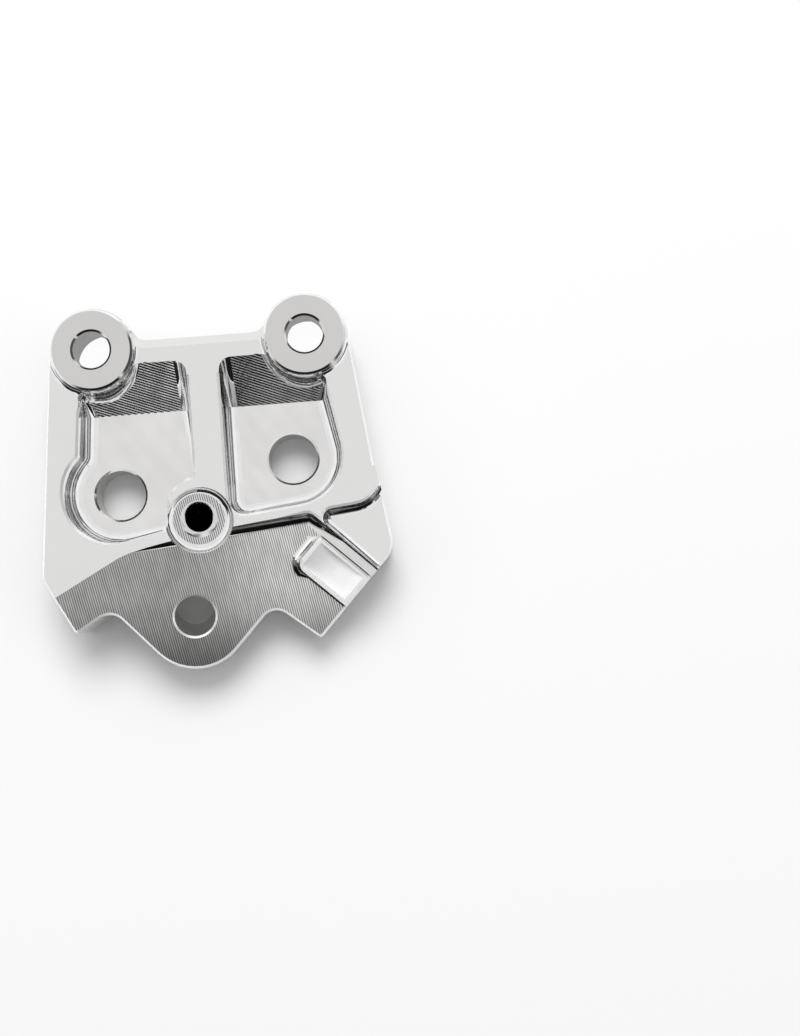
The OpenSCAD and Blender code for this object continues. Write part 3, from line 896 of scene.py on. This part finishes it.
@dataclass
class Studio:
    """A white light tent with dark gaps, and one soft lamp that casts the shadow.

    The lamp's own reflection is left out, and the tent's levels and the spans of its elevation's
    sine say how bright it is at the horizon, between and overhead.
    """

    horizon: float = 0.78
    tent: float = 0.95
    zenith: float = 0.83
    gaps: tuple[Gap, ...] = (
        Gap(0.06, 0.79, 0.02, (-0.2, -1.0), (0.5, 0.7)),
        Gap(0.08, 0.40, 0.10, (1.0, 0.1), (0.6, 0.8)),
        Gap(0.20, 0.42, 0.22, (-1.0, 0.0), (0.7, 0.9)),
        Gap(0.18, 0.34, 0.25, (0.0, 1.0), (0.2, 0.5)),
    )
    lamp_power: float = 32.0
    lamp_size: float = 1150.0
    lamp_place: tuple[float, float, float] = (40.0, 1060.0, 1760.0)
    lamp_aim: tuple[float, float, float] = (0.0, -35.0, 0.0)
    horizon_ends: tuple[float, float] = (0.1, 0.5)
    zenith_starts: tuple[float, float] = (0.75, 0.9)

    def build(self) -> None:
        """Lights the scene."""
        self._world()
        light = bpy.data.lights.new("soft_lamp", "AREA")
        light.shape = "DISK"
        light.size = self.lamp_size * MM
        light.energy = self.lamp_power
        lamp = bpy.data.objects.new("soft_lamp", light)
        lamp.location = Vector(self.lamp_place) * MM
        away = Vector(self.lamp_aim) * MM - lamp.location
        lamp.rotation_euler = away.to_track_quat("-Z", "Y").to_euler()
        lamp.visible_glossy = False
        bpy.context.collection.objects.link(lamp)

    def _world(self) -> None:
        """Makes the tent, and a plain white background behind it."""
        world = bpy.data.worlds.new("light_tent")
        world.use_nodes = True
        bpy.context.scene.world = world
        graph = Graph(world.node_tree)
        way = graph.add("ShaderNodeTexCoord").outputs["Generated"]
        up = graph.add("ShaderNodeSeparateXYZ", {0: way}).outputs[2]
        flat = graph.add(
            "ShaderNodeVectorMath", {0: way, 1: (1.0, 1.0, 0.0)}, operation="MULTIPLY"
        ).outputs[0]
        plan = graph.add("ShaderNodeVectorMath", {0: flat}, operation="NORMALIZE").outputs[0]
        level = graph.step(up, *self.zenith_starts, self.tent, self.zenith)
        low_level = graph.step(up, *self.horizon_ends, self.horizon, 1.0)
        level = graph.math("MULTIPLY", level, low_level)
        for gap in self.gaps:
            towards = Vector((gap.towards[0], gap.towards[1], 0.0)).normalized()
            facing = graph.add(
                "ShaderNodeVectorMath", {0: plan, 1: tuple(towards)}, operation="DOT_PRODUCT"
            ).outputs["Value"]
            inside = graph.math(
                "MULTIPLY",
                graph.step(up, gap.low - gap.soft, gap.low + gap.soft),
                graph.step(up, gap.high - gap.soft, gap.high + gap.soft, 1.0, 0.0),
            )
            inside = graph.math("MULTIPLY", inside, graph.step(facing, *gap.fade))
            dim = graph.step(inside, 0.0, 1.0, 1.0, gap.level)
            level = graph.math("MULTIPLY", level, dim)
        white = (1.0, 1.0, 1.0, 1.0)
        tent = graph.add("ShaderNodeBackground", {0: white, 1: level})
        plain = graph.add("ShaderNodeBackground", {0: white, 1: 1.0})
        seen = graph.add("ShaderNodeLightPath").outputs["Is Camera Ray"]
        mixed = graph.add(
            "ShaderNodeMixShader", {0: seen, 1: tent.outputs[0], 2: plain.outputs[0]}
        )
        graph.add("ShaderNodeOutputWorld", {"Surface": mixed.outputs[0]})


@dataclass
class PhotoCamera:
    """The camera at the photograph's place and framing, with its turn in degrees."""

    place: tuple[float, float, float] = (38.42, -68.43, 385.81)
    turn: tuple[float, float, float] = (3.5097, -0.8768, -4.5162)
    lens: float = 67.5
    sensor: float = 36.0
    reach: float = 20000.0

    def build(self) -> None:
        """Adds the camera and makes it the scene's."""
        data = bpy.data.cameras.new("photo_camera")
        data.sensor_fit = "HORIZONTAL"
        data.sensor_width = self.sensor
        data.lens = self.lens
        data.clip_end = self.reach * MM
        shown = bpy.data.objects.new("photo_camera", data)
        shown.location = Vector(self.place) * MM
        shown.rotation_euler = [math.radians(angle) for angle in self.turn]
        bpy.context.collection.objects.link(shown)
        bpy.context.scene.camera = shown


def main() -> None:
    """Builds the scene."""
    logging.basicConfig(level=logging.INFO, format="%(name)s: %(message)s")
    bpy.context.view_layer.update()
    sizes = Sizes()
    bracket = Bracket(sizes)
    bracket.build()
    Thread(sizes, bracket.slot).build()
    Floor(sizes).build()
    Studio().build()
    PhotoCamera().build()
    bpy.context.scene.view_settings.view_transform = "Standard"


if __name__ == "__main__":
    main()
